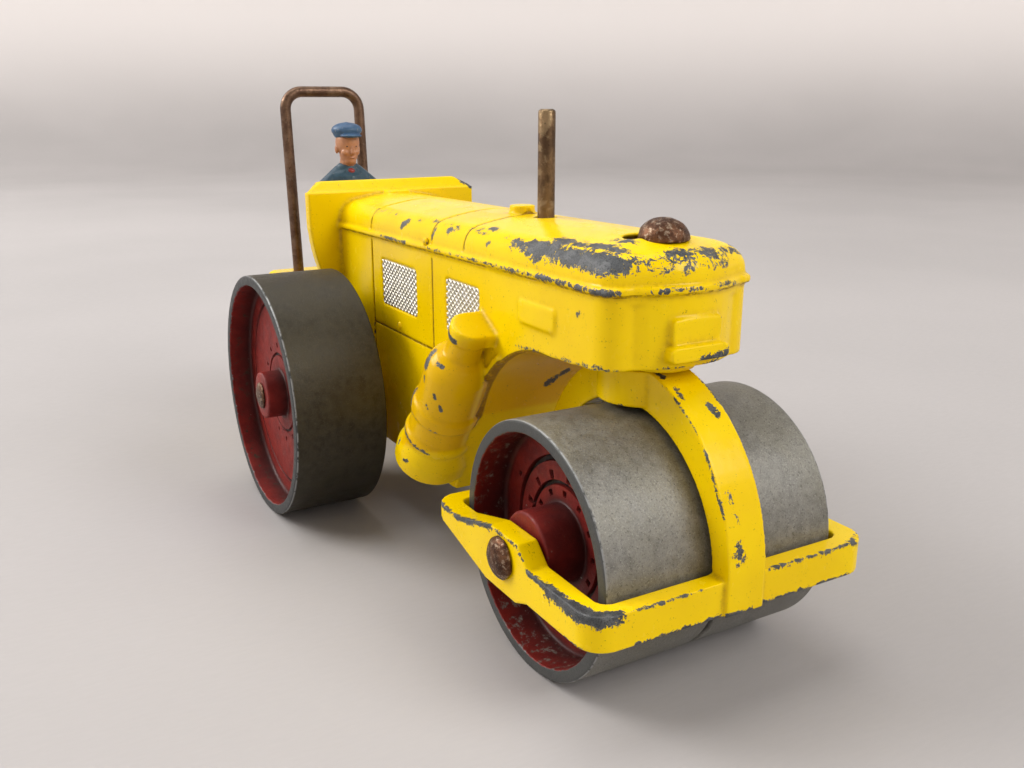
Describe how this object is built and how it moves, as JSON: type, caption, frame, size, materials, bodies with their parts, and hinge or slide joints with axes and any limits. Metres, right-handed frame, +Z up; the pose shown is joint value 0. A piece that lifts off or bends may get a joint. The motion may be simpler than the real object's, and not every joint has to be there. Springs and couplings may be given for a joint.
{
  "type": "toy road roller",
  "caption": "Die-cast toy road roller with a steered front fork and ring frame, wide steel-look rollers, large rear wheels, exhaust stack, wire hoop and a seated driver.",
  "frame": {"origin": "on the ground under the middle of the overall box", "axes": "+X forward, +Y the vehicle's left, +Z up"},
  "size_m": [0.1118, 0.0506, 0.0577],
  "materials": {
    "yellow_enamel": "gloss enamel, chipped to bare zinc on the edges",
    "bare_zinc": "bare dull zinc alloy treads with a deep red painted recess",
    "rivet_steel": "oxidised brown steel",
    "hoop_steel": "oxidised dark brown wire",
    "tarnished_brass": "tarnished brownish brass",
    "driver_paint": "hand-painted blue jacket and cap, tan face"
  },
  "bodies": {
    "body": {"body_casting": "yellow_enamel", "kingpin_rivet": "rivet_steel", "rear_axle_pin": "rivet_steel", "chimney_pin": "tarnished_brass", "wire_hoop": "hoop_steel", "driver_figure": "driver_paint"},
    "fork": {"front_fork": "yellow_enamel", "front_axle_pin": "rivet_steel"},
    "right_roller": {"front_roller_right": "bare_zinc"},
    "left_roller": {"front_roller_left": "bare_zinc"},
    "right_wheel": {"rear_wheel_right": "bare_zinc"},
    "left_wheel": {"rear_wheel_left": "bare_zinc"}
  },
  "joints": [
    {"name": "fork_steer", "type": "hinge", "parent": "body", "child": "fork", "pos_m": [0.0417, 0, 0.03], "axis": [0, 0, 1], "range_deg": [-45, 45]},
    {"name": "right_roller_spin", "type": "hinge", "parent": "fork", "child": "right_roller", "pos_m": [0.04, -0.007, 0.013], "axis": [0, 1, 0], "continuous": true},
    {"name": "left_roller_spin", "type": "hinge", "parent": "fork", "child": "left_roller", "pos_m": [0.04, 0.007, 0.013], "axis": [0, 1, 0], "continuous": true},
    {"name": "right_wheel_spin", "type": "hinge", "parent": "body", "child": "right_wheel", "pos_m": [-0.0134, -0.019, 0.01644], "axis": [0, 1, 0], "continuous": true},
    {"name": "left_wheel_spin", "type": "hinge", "parent": "body", "child": "left_wheel", "pos_m": [-0.0134, 0.019, 0.01644], "axis": [0, 1, 0], "continuous": true}
  ]
}
